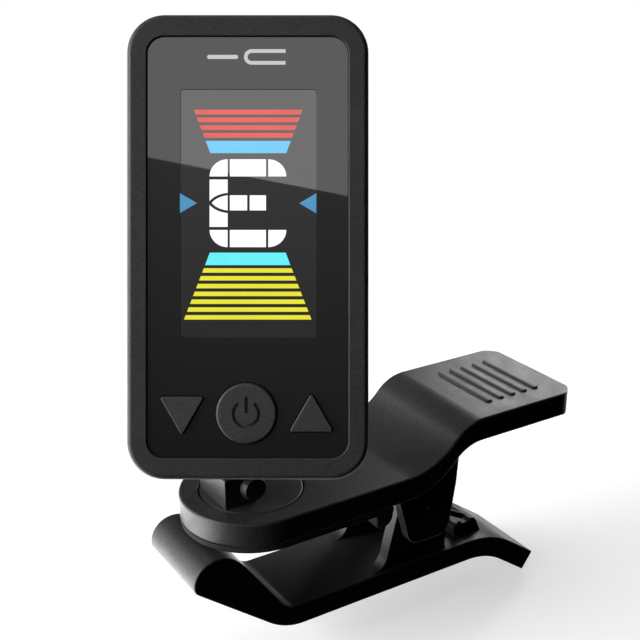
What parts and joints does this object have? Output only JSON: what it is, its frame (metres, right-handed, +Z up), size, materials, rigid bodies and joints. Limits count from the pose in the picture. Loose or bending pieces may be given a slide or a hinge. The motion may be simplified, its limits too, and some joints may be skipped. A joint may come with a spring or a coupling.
{
  "type": "clip-on tuner",
  "caption": "Clip-on instrument tuner: upright display unit on a swivel and hinge, on a sprung spring-clip with a padded upper jaw and thumb levers.",
  "frame": {"origin": "centre of the lower jaw's seat, the flat top face that a headstock rests on", "axes": "+X along the clip from the jaw's nose to the thumb levers, +Y across the clip, +Z up from the lower jaw to the upper jaw"},
  "size_m": [0.0595, 0.0324, 0.0745],
  "materials": {
    "shell": "fine-grained charcoal plastic",
    "clip": "satin charcoal plastic",
    "gloss": "gloss black",
    "glass": "dark liquid-crystal glass",
    "rubber": "matte black rubber",
    "button": "matte charcoal",
    "steel": "plain steel",
    "blackened": "blackened steel",
    "brass": "sprung brass",
    "board": "green solder mask",
    "white": "white light guide",
    "chip": "black epoxy"
  },
  "bodies": {
    "lower_jaw": {"lower_jaw": "clip", "pivot_pin": "blackened", "torsion_spring": "steel", "pivot_washer_near": "steel", "pivot_washer_far": "steel"},
    "upper_jaw": {"upper_jaw": "clip", "jaw_pad": "rubber"},
    "swivel": {"swivel_disc": "clip", "swivel_retainer": "steel", "swivel_screw": "steel", "hinge_pin": "clip"},
    "neck": {"neck": "clip", "neck_clip": "steel"},
    "head": {"front_case": "shell", "rear_cover": "shell", "display_window": "gloss", "display_lens": "glass", "lcd_panel": "glass", "lcd_backlight": "white", "lcd_connector": "rubber", "main_board": "board", "tuner_chip": "chip", "piezo_sensor": "brass", "crystal": "steel", "coin_battery": "steel", "battery_contact_minus": "brass", "battery_contact_plus": "brass", "power_dome": "steel", "down_dome": "steel", "up_dome": "steel", "case_screw_1": "steel", "case_screw_2": "steel", "case_screw_3": "steel", "case_screw_4": "steel"},
    "battery_door": {"battery_door": "shell"},
    "power_button": {"power_button": "button"},
    "down_button": {"down_button": "button"},
    "up_button": {"up_button": "button"}
  },
  "joints": [
    {"name": "jaw_pivot", "type": "hinge", "parent": "lower_jaw", "child": "upper_jaw", "pos_m": [0.0122, 0, 0.0082], "axis": [0, 1, 0], "range_deg": [0, 28], "stiffness_Nm_per_rad": 0.25, "springref_deg": -22.92, "deforming": ["torsion_spring"]},
    {"name": "disc_swivel", "type": "hinge", "parent": "upper_jaw", "child": "swivel", "pos_m": [-0.0082, 0, 0.014], "axis": [0, 0, 1], "range_deg": [-90, 90]},
    {"name": "neck_tilt", "type": "hinge", "parent": "swivel", "child": "neck", "pos_m": [-0.0099, 0, 0.01605], "axis": [0, 1, 0], "range_deg": [-18, 20]},
    {"name": "head_turn", "type": "hinge", "parent": "neck", "child": "head", "pos_m": [-0.0077, 0, 0.0237], "axis": [0.2764, 0, 0.961], "range_deg": [-45, 45]},
    {"name": "door_slide", "type": "slide", "parent": "head", "child": "battery_door", "axis": [0.1918, 0.3046, 0.933], "range_m": [0, 0.005]},
    {"name": "power_press", "type": "slide", "parent": "head", "child": "power_button", "axis": [0.4971, 0.7895, -0.36], "range_m": [0, 0.0002], "stiffness_N_per_m": 500, "springref_m": -0.0004},
    {"name": "down_press", "type": "slide", "parent": "head", "child": "down_button", "axis": [0.4971, 0.7895, -0.36], "range_m": [0, 0.0002], "stiffness_N_per_m": 500, "springref_m": -0.0004},
    {"name": "up_press", "type": "slide", "parent": "head", "child": "up_button", "axis": [0.4971, 0.7895, -0.36], "range_m": [0, 0.0002], "stiffness_N_per_m": 500, "springref_m": -0.0004}
  ]
}
